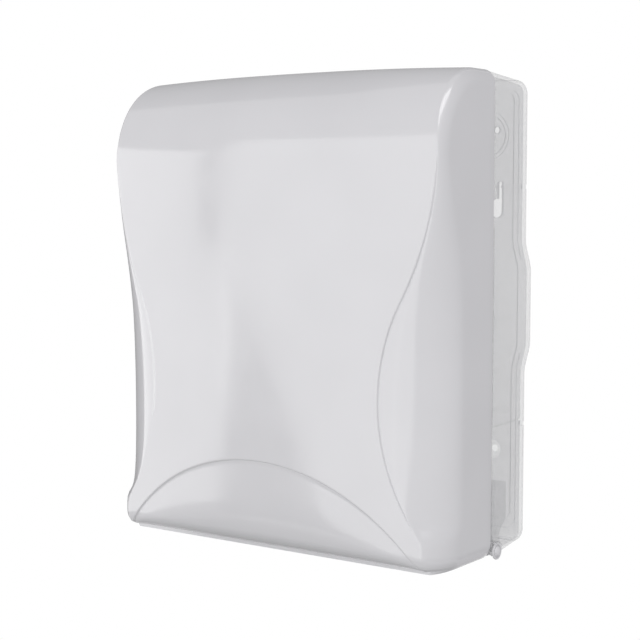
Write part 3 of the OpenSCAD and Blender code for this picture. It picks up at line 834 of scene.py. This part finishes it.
        shell = bmesh.new()
        grids = [[[shell.verts.new(p * MM) for p in row] for row in skin] for skin in skins]
        loops = [[grids[0][i][j] for i, j in path]]
        loops += [[shell.verts.new(p * MM) for p in ring] for ring in rings]
        loops += [[grids[1][i][j] for i, j in path]]
        for layer, grid in enumerate(grids):
            for i in range(rows - 1):
                for j in range(cols - 1):
                    quad = [grid[i][j], grid[i][j + 1], grid[i + 1][j + 1], grid[i + 1][j]]
                    shell.faces.new(quad if layer == 0 else quad[::-1])
        for near, far in zip(loops, loops[1:]):
            for k in range(len(near) - 1):
                shell.faces.new([near[k], near[k + 1], far[k + 1], far[k]])
        outer, inner = grids[0][0], grids[1][0]
        for j in range(cols - 1):
            shell.faces.new([outer[j + 1], outer[j], inner[j], inner[j + 1]])
        shell.faces.new([loop[0] for loop in loops])
        shell.faces.new([loop[-1] for loop in reversed(loops)])
        bmesh.ops.remove_doubles(shell, verts=shell.verts, dist=self.merge * MM)
        bmesh.ops.dissolve_degenerate(shell, edges=shell.edges, dist=self.thin * MM)
        bmesh.ops.recalc_face_normals(shell, faces=shell.faces)
        mesh = bpy.data.meshes.new("cover_shell")
        shell.to_mesh(mesh)
        shell.free()
        return mesh

    def build(self) -> bpy.types.Object:
        """Makes the cover, cuts the hole for the lock and dresses it.

        Returns:
            The cover.
        """
        piece = new_piece("cover_shell", self.mesh())
        reach = self.lock_drill / 2
        hole_foot = (0.0, -self.lock_back, self.top_z - reach)
        seat_foot = (0.0, -self.lock_back, self.top_z - self.lock_sunk)
        cut_round_hole(piece, hole_foot, self.lock_hole, self.lock_drill)
        cut_round_hole(piece, seat_foot, self.lock_seat, reach)
        smooth_by_angle(piece.data, self.smooth)
        self.shop.dress(piece, MouldedWhite())
        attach(piece, "cover")
        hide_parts("front_cover")
        return piece


def cut_round_hole(
    piece: bpy.types.Object, foot: Point, radius: float, tall: float, flats: int = 56
) -> None:
    """Cuts an upright round hole in a piece.

    Args:
        piece: the object, whose mesh is changed.
        foot: the lowest point of the hole's axis, in millimetres.
        radius: the hole's radius, in millimetres.
        tall: the hole's height, in millimetres.
        flats: how many flats go round it.
    """
    drill = bmesh.new()
    bmesh.ops.create_cone(
        drill, cap_ends=True, segments=flats, radius1=radius * MM, radius2=radius * MM,
        depth=tall * MM,
    )
    middle = Vector(foot) + Vector((0.0, 0.0, tall / 2))
    bmesh.ops.translate(drill, verts=drill.verts, vec=middle * MM)
    mesh = bpy.data.meshes.new("drill")
    drill.to_mesh(mesh)
    drill.free()
    cutter = new_piece("drill", mesh)
    cut = piece.modifiers.new("hole", "BOOLEAN")
    cut.object = cutter
    cut.operation = "DIFFERENCE"
    cut.solver = "EXACT"
    settle(piece)
    bpy.data.objects.remove(cutter)


@dataclass
class SoftEdged:
    """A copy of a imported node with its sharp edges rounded, as a moulded or pressed part has."""

    shop: PaintShop
    node: str
    name: str
    finish: Finish
    body: str
    radius: float = 0.4
    segments: int = 2
    sharp: float = 32.0
    merge: float = 0.002
    flat: float = 0.4

    def build(self) -> bpy.types.Object:
        """Makes the copy, rounds its edges and dresses it.

        Returns:
            The piece.
        """
        work = bmesh.new()
        work.from_mesh(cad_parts[self.node].data)
        bmesh.ops.remove_doubles(work, verts=work.verts, dist=self.merge * MM)
        bmesh.ops.dissolve_limit(
            work, angle_limit=math.radians(self.flat), verts=work.verts, edges=work.edges
        )
        mesh = bpy.data.meshes.new(self.name)
        work.to_mesh(mesh)
        work.free()
        piece = new_piece(self.name, mesh)
        round_off = piece.modifiers.new("round_off", "BEVEL")
        round_off.width = self.radius * MM
        round_off.segments = self.segments
        round_off.limit_method = "ANGLE"
        round_off.angle_limit = math.radians(self.sharp)
        settle(piece)
        smooth_by_angle(piece.data, self.sharp)
        piece.modifiers.new("flat_faces_flat", "WEIGHTED_NORMAL").keep_sharp = True
        settle(piece)
        self.shop.dress(piece, self.finish)
        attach(piece, self.body)
        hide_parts(self.node)
        return piece


@dataclass
class Housing:
    """What stays on the wall: housing, tray, brackets, guides, strike and hinge pins.

    The fields say where the clear plastic looks different. seat_place is the x and z of a low
    wall screw, knuckle_place is the y and z of a knuckle, and steep and tilted are how much of
    a face's direction lies along Y.
    """

    shop: PaintShop
    relief_front: float = -8.0
    relief_half: float = 137.0
    back_round: float = 3.0
    seat_r: float = 7.6
    ring_r: float = 9.4
    seat_place: tuple[float, float] = (116.0, -117.0)
    knuckle_r: float = 4.6
    knuckle_in: float = 138.5
    knuckle_place: tuple[float, float] = (-51.2, -180.6)
    steep: float = 0.6
    tilted: float = 0.97

    def build(self) -> list[bpy.types.Object]:
        """Makes the pieces. The plan gives node, name, finish and the radius of the edges.

        Returns:
            The pieces.
        """
        clear, white = ClearShell(), MouldedWhite()
        plan = [("back_housing", "housing_shell", clear, 0.5), ("bottom_tray", "tray", white, 0.5)]
        plan += [("strike_plate", "strike", PlatedMetal(Plating.ZINC), 0.4)]
        for side in SIDES:
            plan += [(f"tray_bracket_{side}", f"bracket_{side}", clear, 0.5)]
            plan += [(f"paper_guide_{side}", f"guide_{side}", clear, 0.4)]
            plan += [(f"hinge_pin_{side}", f"pin_{side}", white, 0.2)]
        pieces = [
            SoftEdged(self.shop, node, name, finish, "housing", radius).build()
            for node, name, finish, radius in plan
        ]
        self.vary(pieces[0])
        return pieces

    def vary(self, shell: bpy.types.Object) -> None:
        """Gives places of the housing their own look: painted shade, darker and more solid, on the
        steep sides of the raised relief; a clearer web in each screw seat; a more solid knuckle boss
        and rounded back edge.

        Args:
            shell: the housing's shell.
        """
        order = list(Clear)
        for clear in order[1:]:
            shell.data.materials.append(self.shop.material(ClearShell(clear)))
        for face in shell.data.polygons:
            corners = [shell.data.vertices[i].co / MM for i in face.vertices]
            face.material_index = order.index(self.clear_at(corners, face.center / MM, face.normal))

    def from_seat(self, corner: Vector) -> float:
        """How far a corner of a face lies from the axis of the nearer low wall screw."""
        x, z = self.seat_place
        return math.hypot(abs(corner.x) - x, corner.z - z)

    def clear_at(self, corners: list[Vector], place: Vector, normal: Vector) -> Clear:
        """How solid the housing looks at a face.

        Args:
            corners: the face's corners, in millimetres.
            place: its middle, in millimetres.
            normal: its direction.

        Returns:
            The look.
        """
        x, y, z = abs(place.x), place.y, place.z
        if x > self.knuckle_in:
            if math.hypot(y - self.knuckle_place[0], z - self.knuckle_place[1]) < self.knuckle_r:
                return Clear.BOSS
        from_seat = max(self.from_seat(corner) for corner in corners)
        if y > self.relief_front and from_seat < self.ring_r:
            return Clear.WEB if from_seat < self.seat_r else Clear.WALL
        # Painted shade: the steep sides of the relief are darker and more solid, for the dark lines
        # along its edges.
        if y > self.relief_front and x < self.relief_half and abs(normal.y) < self.steep:
            return Clear.EDGE
        if y > -self.back_round and abs(normal.y) < self.tilted:
            return Clear.RIM
        return Clear.WALL


@dataclass
class HingeArms:
    """The two arms that carry the cover on the hinge pins."""

    shop: PaintShop
    edge_r: float = 0.6

    def build(self) -> list[bpy.types.Object]:
        """Makes the arms.

        Returns:
            The arms.
        """
        pieces: list[bpy.types.Object] = []
        for side in SIDES:
            node, name = f"hinge_arm_{side}", f"arm_{side}"
            arm = SoftEdged(self.shop, node, name, MouldedWhite(), "cover", self.edge_r)
            pieces.append(arm.build())
        return pieces


@dataclass
class CamLock:
    """The lock in the cover's top: fixed barrel and nut, and the plug that turns the cam."""

    shop: PaintShop

    def build(self) -> list[bpy.types.Object]:
        """Makes the pieces. The plan gives node, name, finish, body and the radius of the edges.

        Returns:
            The pieces.
        """
        chrome, zinc = PlatedMetal(Plating.CHROME), PlatedMetal(Plating.ZINC)
        plan = [
            ("lock_barrel", "barrel", chrome, "cover", 0.5),
            ("lock_nut", "nut", zinc, "cover", 0.3),
            ("lock_plug", "plug", chrome, "lock_rotor", 0.2),
            ("lock_cam", "cam", zinc, "lock_rotor", 0.3),
            ("cam_washer", "washer", zinc, "lock_rotor", 0.15),
        ]
        return [
            SoftEdged(self.shop, node, name, finish, body, radius).build()
            for node, name, finish, body, radius in plan
        ]


class Facing(Enum):
    """Which way a screw's head faces, as turns about X, Y and Z in radians."""

    UP = (0.0, 0.0, 0.0)
    DOWN = (math.pi, 0.0, 0.0)
    ROOM = (math.pi / 2, 0.0, 0.0)


@dataclass
class ScrewSet:
    """Pan-head screws with a cross recess, set on points by one tree of geometry nodes.

    base_part is the straight part of the head's height, and dome gives the rise and the
    shrinking of each step above it.
    """

    shop: PaintShop
    head_r: float = 3.0
    head_h: float = 2.0
    shank_r: float = 1.5
    recess_long: float = 3.8
    recess_wide: float = 0.8
    recess_deep: float = 1.1
    short_shank: float = 4.6
    cam_shank: float = 9.0
    head_flats: int = 28
    shank_flats: int = 20
    base_part: float = 0.5
    dome: tuple[tuple[float, float], ...] = ((0.22, 0.93), (0.18, 0.80), (0.10, 0.62))
    smooth: float = 30.0

    def tree(self) -> bpy.types.NodeTree:
        """Builds the tree, with named inputs for the screw's sizes.

        Returns:
            The tree.
        """
        tree = bpy.data.node_groups.new("pan_head_screws", "GeometryNodeTree")
        face = tree.interface
        face.new_socket(name="Places", in_out="INPUT", socket_type="NodeSocketGeometry")
        for name in (
            "Head radius", "Head height", "Shank radius", "Shank length",
            "Recess length", "Recess width", "Recess depth",
        ):
            face.new_socket(name=name, in_out="INPUT", socket_type="NodeSocketFloat")
        face.new_socket(name="Finish", in_out="INPUT", socket_type="NodeSocketMaterial")
        face.new_socket(name="Screws", in_out="OUTPUT", socket_type="NodeSocketGeometry")
        bench = NodeBench(tree)
        given = bench.add("NodeGroupInput").outputs
        head_h, shank_h = given["Head height"], given["Shank length"]

        head = bench.add(
            "GeometryNodeMeshCylinder", Vertices=self.head_flats, Radius=given["Head radius"],
            Depth=self.scaled(bench, head_h, self.base_part),
        )
        shape = self.raised(bench, head.outputs["Mesh"], head_h, self.base_part / 2)
        crown = head.outputs["Top"]
        for rise, shrink in self.dome:
            grow = bench.add(
                "GeometryNodeExtrudeMesh", mode="FACES", Mesh=shape, Selection=crown,
                Offset_Scale=self.scaled(bench, head_h, rise),
            )
            draw_in = bench.add(
                "GeometryNodeScaleElements", domain="FACE", Scale=shrink,
                Geometry=grow.outputs["Mesh"], Selection=grow.outputs["Top"],
            )
            shape, crown = draw_in.outputs["Geometry"], grow.outputs["Top"]

        cut = bench.add(
            "GeometryNodeMeshBoolean", operation="DIFFERENCE", solver="EXACT", Mesh_1=shape
        )
        along, across = given["Recess length"], given["Recess width"]
        for x, y in ((along, across), (across, along)):
            tall = self.scaled(bench, given["Recess depth"], 2.0)
            size = bench.add("ShaderNodeCombineXYZ", X=x, Y=y, Z=tall)
            slot = bench.add("GeometryNodeMeshCube", Size=size.outputs["Vector"])
            bench.link(self.raised(bench, slot.outputs["Mesh"], head_h, 1.0), cut.inputs["Mesh 2"])

        shank = bench.add(
            "GeometryNodeMeshCylinder", Vertices=self.shank_flats, Radius=given["Shank radius"],
            Depth=shank_h,
        )
        screw = bench.add("GeometryNodeJoinGeometry")
        sunk = self.raised(bench, shank.outputs["Mesh"], shank_h, -0.5)
        for part in (sunk, cut.outputs["Mesh"]):
            bench.link(part, screw.inputs["Geometry"])

        turn = bench.add("GeometryNodeInputNamedAttribute", data_type="FLOAT_VECTOR", Name="turn")
        swing = bench.add("FunctionNodeEulerToRotation", Euler=turn.outputs["Attribute"])
        placed = bench.add(
            "GeometryNodeInstanceOnPoints", Points=given["Places"],
            Instance=screw.outputs["Geometry"], Rotation=swing.outputs["Rotation"],
        )
        real = bench.add("GeometryNodeRealizeInstances", Geometry=placed.outputs["Instances"])
        painted = bench.add(
            "GeometryNodeSetMaterial", Geometry=real.outputs["Geometry"], Material=given["Finish"]
        )
        bench.add("NodeGroupOutput", Screws=painted.outputs["Geometry"])
        return tree

    @staticmethod
    def scaled(
        bench: NodeBench, value: bpy.types.NodeSocket, factor: float
    ) -> bpy.types.NodeSocket:
        """Multiplies a number in the tree.

        Args:
            bench: the tree.
            value: the number.
            factor: what it is multiplied by.

        Returns:
            The product.
        """
        times = bench.add("ShaderNodeMath", operation="MULTIPLY")
        bench.link(value, times.inputs[0])
        times.inputs[1].default_value = factor
        return times.outputs[0]

    @staticmethod
    def raised(
        bench: NodeBench, shape: bpy.types.NodeSocket, length: bpy.types.NodeSocket, part: float
    ) -> bpy.types.NodeSocket:
        """Moves a shape in the tree up.

        Args:
            bench: the tree.
            shape: the shape.
            length: a length in the tree.
            part: how much of the length it is moved by.

        Returns:
            The moved shape.
        """
        way = bench.add("ShaderNodeCombineXYZ", Z=ScrewSet.scaled(bench, length, part))
        moved = bench.add("GeometryNodeTransform", Geometry=shape, Translation=way.outputs["Vector"])
        return moved.outputs["Geometry"]

    def build(self) -> list[bpy.types.Object]:
        """Makes the housing's screws as one piece and the cam's as another.

        Returns:
            The pieces.
        """
        tree = self.tree()
        fixed = {f"tray_screw_{s}": Facing.UP for s in SIDES}
        fixed |= {f"guide_screw_{s}_{e}": Facing.ROOM for s in SIDES for e in ("upper", "lower")}
        fixed |= {f"strike_screw_{s}": Facing.DOWN for s in SIDES}
        turning = {"cam_screw": Facing.DOWN}
        return [
            self.place(tree, "housing_screws", fixed, "housing", self.short_shank),
            self.place(tree, "cam_fixing", turning, "lock_rotor", self.cam_shank),
        ]

    def place(
        self, tree: bpy.types.NodeTree, name: str, heads: dict[str, Facing], body: str, shank: float
    ) -> bpy.types.Object:
        """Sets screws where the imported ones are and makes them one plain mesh.

        Args:
            tree: the screws' tree.
            name: the piece's name.
            heads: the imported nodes, with the way each head faces.
            body: the body that they ride on.
            shank: length below the head, in millimetres.

        Returns:
            The piece.
        """
        finish = PlatedMetal(Plating.STEEL)
        seats, turns = [], []
        for node, facing in heads.items():
            low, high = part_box(node)
            axis = Euler(facing.value).to_matrix() @ Vector((0.0, 0.0, 1.0))
            ends = [high[i] if axis[i] > 0.5 else low[i] for i in range(3)]
            middle = (low + high) / 2
            seat = [ends[i] if abs(axis[i]) > 0.5 else middle[i] for i in range(3)]
            seats.append(Vector(seat) - axis * self.head_h * MM)
            turns.append(facing.value)
        places = bpy.data.meshes.new(name + "_places")
        places.from_pydata(seats, [], [])
        turn = places.attributes.new("turn", "FLOAT_VECTOR", "POINT")
        turn.data.foreach_set("vector", np.array(turns, np.float32).ravel())
        carrier = new_piece(name + "_places", places)
        setter = carrier.modifiers.new("screws", "NODES")
        setter.node_group = tree
        sizes = {
            "Head radius": self.head_r, "Head height": self.head_h,
            "Shank radius": self.shank_r, "Shank length": shank,
            "Recess length": self.recess_long, "Recess width": self.recess_wide,
            "Recess depth": self.recess_deep,
        }
        for socket in tree.interface.items_tree:
            if socket.name in sizes:
                setter[socket.identifier] = sizes[socket.name] * MM
            elif socket.name == "Finish":
                setter[socket.identifier] = self.shop.material(finish)
        settle(carrier)
        screws = carrier.data
        bpy.data.objects.remove(carrier)
        smooth_by_angle(screws, self.smooth)
        piece = new_piece(name, screws)
        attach(piece, body)
        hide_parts(*heads)
        return piece


def direction(azimuth: float, elevation: float) -> Vector:
    """A direction from the object, with azimuth 0 to the room and 90 to the right.

    Args:
        azimuth: degrees round the upright axis.
        elevation: degrees above the horizon.

    Returns:
        The unit vector.
    """
    turn, rise = math.radians(azimuth), math.radians(elevation)
    return Vector((math.sin(turn) * math.cos(rise), -math.cos(turn) * math.cos(rise), math.sin(rise)))


def card_corners(first: float, last: float, low: float, high: float) -> Corners:
    """Corners of a card between two azimuths and two elevations, in degrees."""
    return ((first, low), (last, low), (last, high), (first, high))


@dataclass(frozen=True)
class Softbox:
    """A rectangular studio lamp, with its place and size in degrees as seen from the object."""

    name: str
    azimuth: float
    elevation: float
    wide: float
    tall: float
    glow: float
    gloss_only: bool = True
    away: float = 2000.0

    def build(self) -> None:
        """Makes the lamp. Its power follows from its size and how bright its face is."""
        lamp = bpy.data.lights.new(self.name, "AREA")
        lamp.shape = "RECTANGLE"
        lamp.size = 2 * self.away * math.tan(math.radians(self.wide / 2)) * MM
        lamp.size_y = 2 * self.away * math.tan(math.radians(self.tall / 2)) * MM
        lamp.energy = self.glow * math.pi * lamp.size * lamp.size_y
        holder = bpy.data.objects.new(self.name, lamp)
        bpy.context.scene.collection.objects.link(holder)
        out = direction(self.azimuth, self.elevation)
        holder.location = (CENTRE + out * self.away) * MM
        holder.rotation_euler = (-out).to_track_quat("-Z", "Y").to_euler()
        holder.visible_diffuse = not self.gloss_only
        holder.visible_camera = False


@dataclass(frozen=True)
class Flag:
    """A dim studio card that the camera doesn't see.

    Its corners are azimuths and elevations in degrees, as seen from the object.
    """

    name: str
    corners: Corners
    glow: float
    away: float
    shades_light: bool = False

    def build(self) -> None:
        """Makes the card, which the camera doesn't see."""
        mesh = bpy.data.meshes.new(self.name)
        points = [(CENTRE + direction(*corner) * self.away) * MM for corner in self.corners]
        mesh.from_pydata(points, [], [tuple(range(len(points)))])
        card = new_piece(self.name, mesh)
        mesh.materials.append(DimCard(self.name, self.glow).build())
        card.visible_camera = False
        card.visible_diffuse = self.shades_light
        card.visible_transmission = False
        card.visible_shadow = self.shades_light


@dataclass
class Studio:
    """Camera, lamps, cards, white surroundings and the floor.

    The cards' edges and the corners of the gap are in degrees, as seen from the object.
    """

    camera_place: Point = (637.71, -960.17, 67.06)
    yaw: float = 35.3485
    pitch: float = 4.6821
    lens: float = 83.077
    sensor: float = 36.0
    floor_z: float = -900.0
    floor_half: float = 1300.0
    ambient: float = 0.675
    light_tint: Colour = (0.985, 0.975, 1.0)
    clip: tuple[float, float] = (50.0, 50000.0)
    card_away: float = 2500.0
    card_end: float = 178.0
    card_foot: float = -52.0
    card_low: float = -20.0
    card_high: float = 62.0
    left_start: float = -88.0
    right_start: float = 40.0
    right_step: float = 8.0
    right_count: int = 14
    right_glow: float = 0.96
    right_dim: float = 0.04
    low_glow: float = 0.3
    gap: Corners = (
        (-42.0, -1.0), (-39.0, -4.0), (-36.0, -8.0), (-31.5, -12.0), (-28.0, -16.0), (-26.0, -30.0),
        (-44.0, -30.0), (-41.5, -12.0), (-40.0, -8.0), (-39.5, -5.0),
    )

    def build(self) -> None:
        """Makes the whole studio."""
        self.camera()
        self.surroundings()
        self.floor()
        for item in (
            Softbox("left_box_high", -67.0, 6.5, 42.0, 15.0, 2.0),
            Softbox("left_box_low", -64.0, -11.0, 48.0, 20.0, 2.0),
            Softbox("front_box", -16.0, 0.0, 52.0, 52.0, 1.65),
            Softbox("key_box", 20.0, -3.0, 22.0, 50.0, 1.65, False),
            Softbox("shoulder_box", 50.0, 52.0, 44.0, 40.0, 5.0),
            Flag("low_card", ((45, -38), (135, -38), (-135, -38), (-45, -38)), 0.28, 900.0, True),
            Flag("gap_flag", self.gap, 0.07, 1700.0),
            Flag("back_flag_left", self.left_corners(self.card_low, 0.0), 0.2, self.card_away),
            Flag("back_flag_high", self.left_corners(0.0, self.card_high), 0.34, self.card_away),
            *self.right_flags(),
        ):
            item.build()
        bpy.context.scene.view_settings.view_transform = "Standard"

    def left_corners(self, low: float, high: float) -> Corners:
        """Corners of a card at the back on the left, between two elevations."""
        return card_corners(-self.card_end, self.left_start, low, high)

    def right_flags(self) -> list[Flag]:
        """Plans cards to the right that dim step by step towards the back, and dark ones below.

        Returns:
            The cards.
        """
        ends = [self.right_start + self.right_step * i for i in range(self.right_count)]
        ends.append(self.card_end)
        cards: list[Flag] = []
        for i, (near, far) in enumerate(zip(ends, ends[1:])):
            beside = card_corners(far, near, self.card_low, self.card_high)
            below = card_corners(far, near, self.card_foot, self.card_low)
            glow = self.right_glow - self.right_dim * i
            cards.append(Flag(f"right_flag_{i}", beside, glow, self.card_away))
            cards.append(Flag(f"low_flag_{i}", below, self.low_glow, self.card_away))
        return cards

    def camera(self) -> None:
        """Sets the camera at the photograph's place."""
        data = bpy.data.cameras.new("camera")
        data.lens = self.lens
        data.sensor_width = self.sensor
        data.clip_start, data.clip_end = (reach * MM for reach in self.clip)
        holder = bpy.data.objects.new("camera", data)
        bpy.context.scene.collection.objects.link(holder)
        holder.location = Vector(self.camera_place) * MM
        holder.rotation_euler = (math.radians(90.0 - self.pitch), 0.0, math.radians(self.yaw))
        bpy.context.scene.camera = holder

    def surroundings(self) -> None:
        """Makes a world that is white to the eye, in reflections and through clear plastic."""
        world = bpy.data.worlds.new("white_studio")
        bpy.context.scene.world = world
        world.use_nodes = True
        bench = NodeBench(world.node_tree)
        bench.tree.nodes.clear()
        seen = bench.add("ShaderNodeBackground", Color=(1.0, 1.0, 1.0, 1.0), Strength=1.0)
        tint = (*self.light_tint, 1.0)
        light = bench.add("ShaderNodeBackground", Color=tint, Strength=self.ambient)
        mix = bench.add("ShaderNodeMixShader", Fac=white_rays(bench))
        bench.link(light.outputs["Background"], mix.inputs[1])
        bench.link(seen.outputs["Background"], mix.inputs[2])
        bench.add("ShaderNodeOutputWorld", Surface=mix.outputs["Shader"])

    def floor(self) -> None:
        """Makes a plain pale floor far below the object."""
        half, z = self.floor_half * MM, self.floor_z * MM
        mesh = bpy.data.meshes.new("floor")
        corners = [(-half, -half, z), (half, -half, z), (half, half, z), (-half, half, z)]
        mesh.from_pydata(corners, [], [(0, 1, 2, 3)])
        floor = new_piece("floor", mesh)
        mesh.materials.append(PaleFloor().build())


def white_rays(bench: NodeBench) -> bpy.types.NodeSocket:
    """A number that is 1 for rays from the camera, from gloss and through clear plastic.

    Args:
        bench: the tree.

    Returns:
        The number.
    """
    path = bench.add("ShaderNodeLightPath").outputs
    white = path["Is Camera Ray"]
    for kind in ("Is Glossy Ray", "Is Transmission Ray"):
        either = bench.add("ShaderNodeMath", operation="MAXIMUM")
        bench.link(white, either.inputs[0])
        bench.link(path[kind], either.inputs[1])
        white = either.outputs[0]
    return white


def main() -> None:
    """Builds the studio and every piece, in order."""
    logging.basicConfig(level=logging.INFO, format="%(name)s: %(message)s")
    Studio().build()
    shop = PaintShop()
    pieces: list[bpy.types.Object] = [CoverShell(shop).build()]
    for assembly in (Housing(shop), HingeArms(shop), CamLock(shop), ScrewSet(shop)):
        pieces += assembly.build()


if __name__ == "__main__":
    main()
